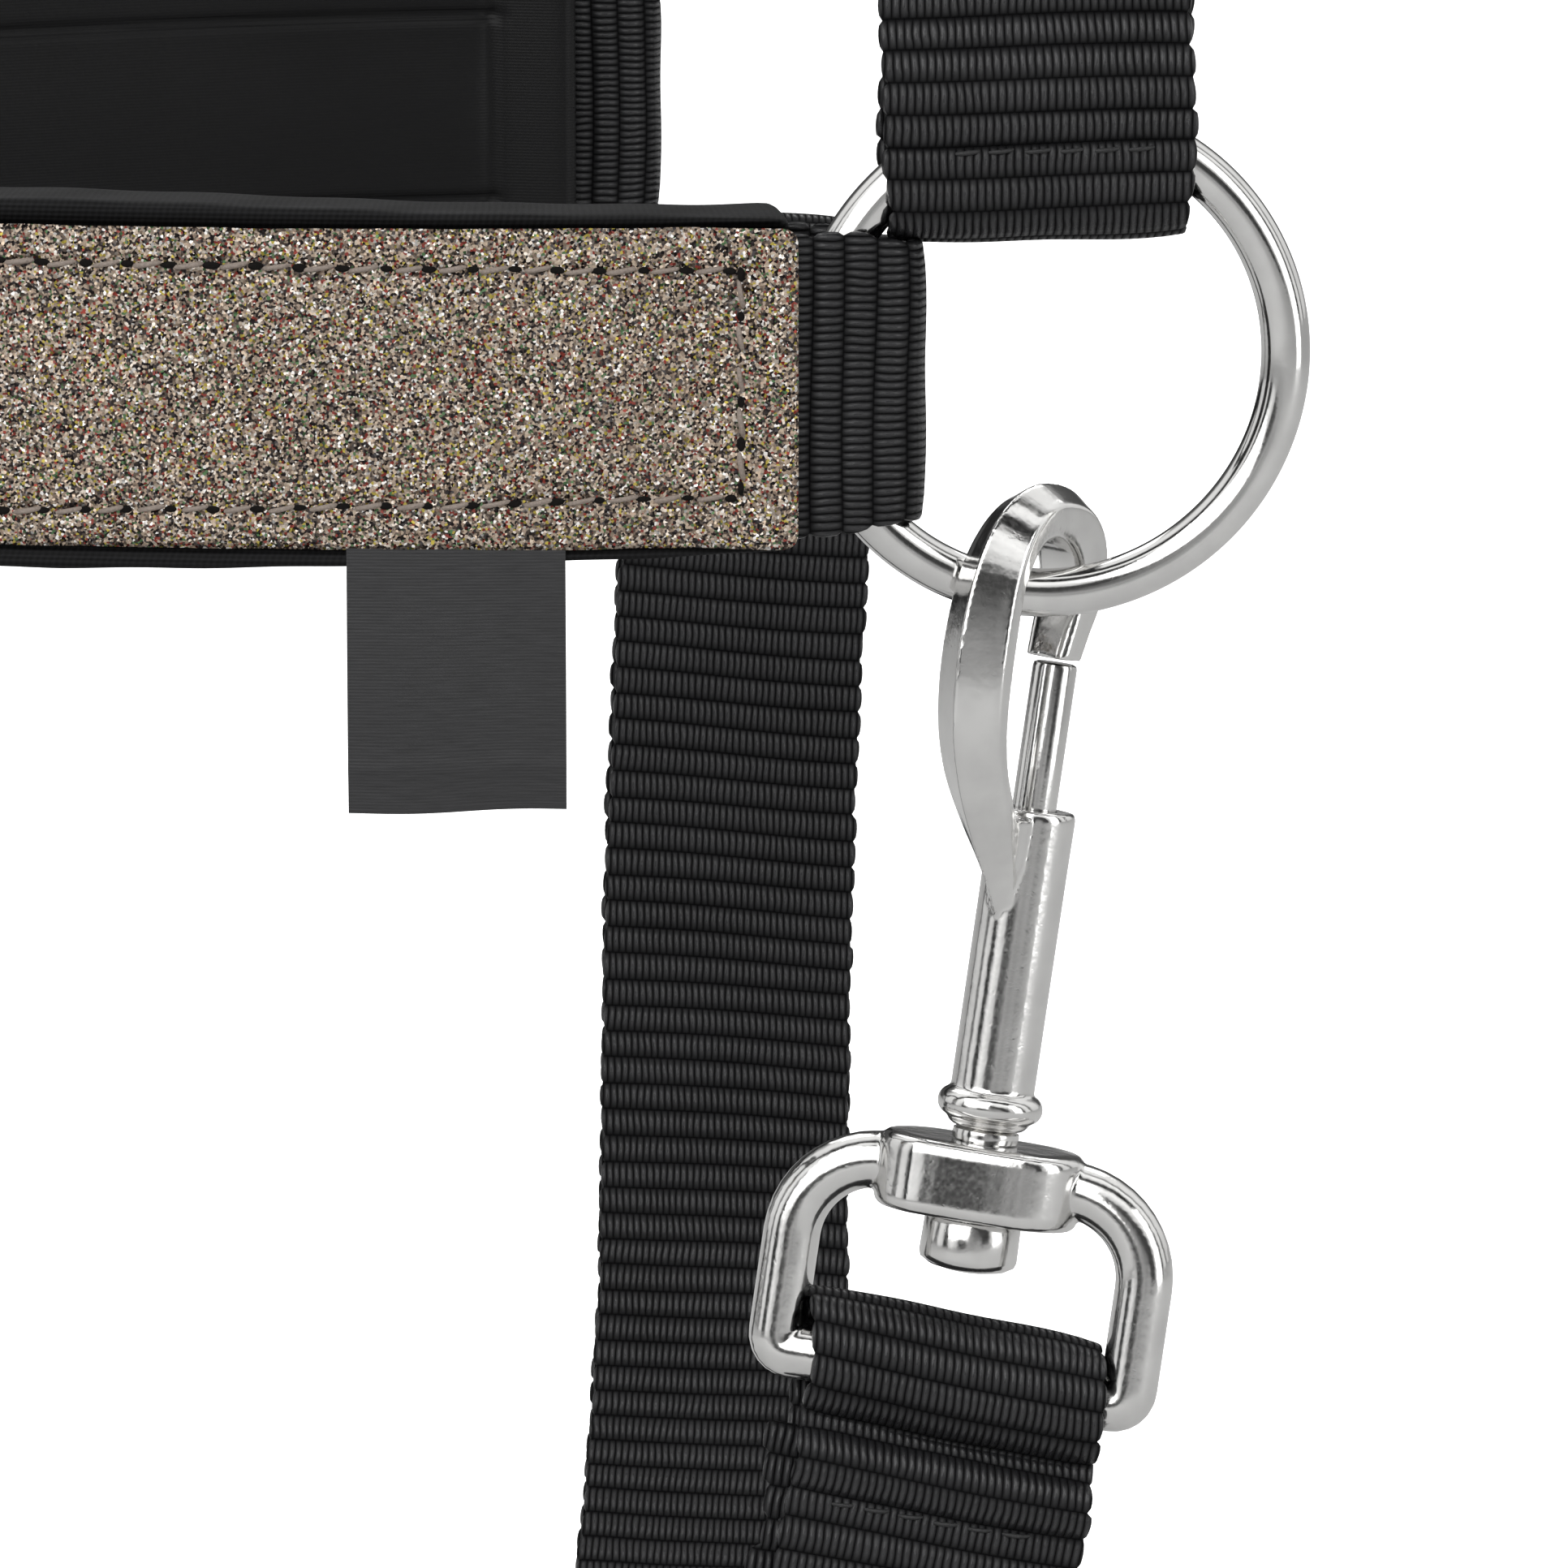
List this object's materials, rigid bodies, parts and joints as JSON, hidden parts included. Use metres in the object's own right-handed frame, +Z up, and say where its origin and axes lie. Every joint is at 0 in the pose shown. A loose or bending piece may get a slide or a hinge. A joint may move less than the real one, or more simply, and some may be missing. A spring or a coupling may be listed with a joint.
{
  "type": "padded webbing headcollar",
  "caption": "Cob-size padded webbing headcollar: cheek straps, noseband and jaw straps on wire rings, buckled crown, and a throat strap closed by a swivel-eye bolt snap.",
  "frame": {"origin": "on the inner face of the crown pad, at the middle of the arch that rests on the poll", "axes": "+Z up towards the crown, -X towards the horse's nose along the cheek straps, -Y towards the near (left) side, where it fastens"},
  "size_m": [0.2375, 0.1838, 0.4281],
  "materials": {
    "ring_metal": "polished nickel plate",
    "hook_metal": "polished nickel plate on a casting",
    "spring_steel": "drawn spring wire",
    "webbing": "ribbed black polypropylene webbing with a satin sheen",
    "padding": "fine knit over neoprene foam",
    "glitter": "champagne glitter cloth",
    "label_cloth": "black satin ribbon",
    "thread": "black sewing thread"
  },
  "bodies": {
    "headcollar": {"buckle_frame": "ring_metal", "crown_eyelets": "ring_metal", "near_cheek_webbing": "webbing", "far_cheek_webbing": "webbing", "noseband_webbing": "webbing", "near_jaw_strap": "webbing", "far_jaw_strap": "webbing", "chin_connector": "webbing", "throat_strap": "webbing", "near_crown_tab": "webbing", "crown_strap": "webbing", "near_cheek_pad": "padding", "far_cheek_pad": "padding", "noseband_pad": "padding", "crown_pad": "padding", "near_cheek_facing": "glitter", "far_cheek_facing": "glitter", "noseband_facing": "glitter", "size_label": "label_cloth", "loop_stitching": "thread"},
    "near_throat_ring": {"near_throat_ring": "ring_metal"},
    "far_throat_ring": {"far_throat_ring": "ring_metal"},
    "near_nose_ring": {"near_nose_ring": "ring_metal"},
    "far_nose_ring": {"far_nose_ring": "ring_metal"},
    "lead_ring": {"lead_ring": "ring_metal"},
    "eye": {"swivel_eye": "hook_metal"},
    "hook": {"snap_hook": "hook_metal", "swivel_rivet": "hook_metal", "bolt_spring": "spring_steel"},
    "bolt": {"snap_bolt": "hook_metal"},
    "roller": {"buckle_roller": "ring_metal"},
    "tongue": {"buckle_tongue": "ring_metal"},
    "keeper": {"crown_keeper": "webbing"}
  },
  "joints": [
    {"name": "near_throat_ring_spin", "type": "hinge", "parent": "headcollar", "child": "near_throat_ring", "pos_m": [0, -0.085, -0.245], "axis": [0, 1, 0], "continuous": true},
    {"name": "far_throat_ring_spin", "type": "hinge", "parent": "headcollar", "child": "far_throat_ring", "pos_m": [0, 0.085, -0.245], "axis": [0, 1, 0], "continuous": true},
    {"name": "near_nose_ring_spin", "type": "hinge", "parent": "headcollar", "child": "near_nose_ring", "pos_m": [-0.19, -0.062, -0.245], "axis": [0, 1, 0], "continuous": true},
    {"name": "far_nose_ring_spin", "type": "hinge", "parent": "headcollar", "child": "far_nose_ring", "pos_m": [-0.19, 0.062, -0.245], "axis": [0, 1, 0], "continuous": true},
    {"name": "lead_ring_spin", "type": "hinge", "parent": "headcollar", "child": "lead_ring", "pos_m": [-0.19, 0, -0.329], "axis": [0, 0, 1], "continuous": true},
    {"name": "eye_pivot", "type": "hinge", "parent": "headcollar", "child": "eye", "pos_m": [-0.00806, -0.08699, -0.32869], "axis": [0.9872, 0, -0.1594], "range_deg": [-0.15, 0.35]},
    {"name": "hook_swivel", "type": "hinge", "parent": "eye", "child": "hook", "pos_m": [-0.00489, -0.0849, -0.30905], "axis": [0.1585, 0.1045, 0.9818], "range_deg": [0, 55]},
    {"name": "bolt_slide", "type": "slide", "parent": "hook", "child": "bolt", "axis": [-0.1585, -0.1045, -0.9818], "range_m": [0, 0.008], "stiffness_N_per_m": 300, "springref_m": -0.006, "deforming": ["bolt_spring"]},
    {"name": "roller_spin", "type": "hinge", "parent": "headcollar", "child": "roller", "pos_m": [-0.001, -0.07515, -0.1016], "axis": [1, 0, 0], "continuous": true},
    {"name": "tongue_pivot", "type": "hinge", "parent": "headcollar", "child": "tongue", "pos_m": [-0.001, -0.07734, -0.1255], "axis": [1, 0, 0], "range_deg": [0, 0.6]},
    {"name": "keeper_slide", "type": "slide", "parent": "headcollar", "child": "keeper", "axis": [0, 0.0912, 0.9958], "range_m": [-0.02, 0.004]}
  ]
}
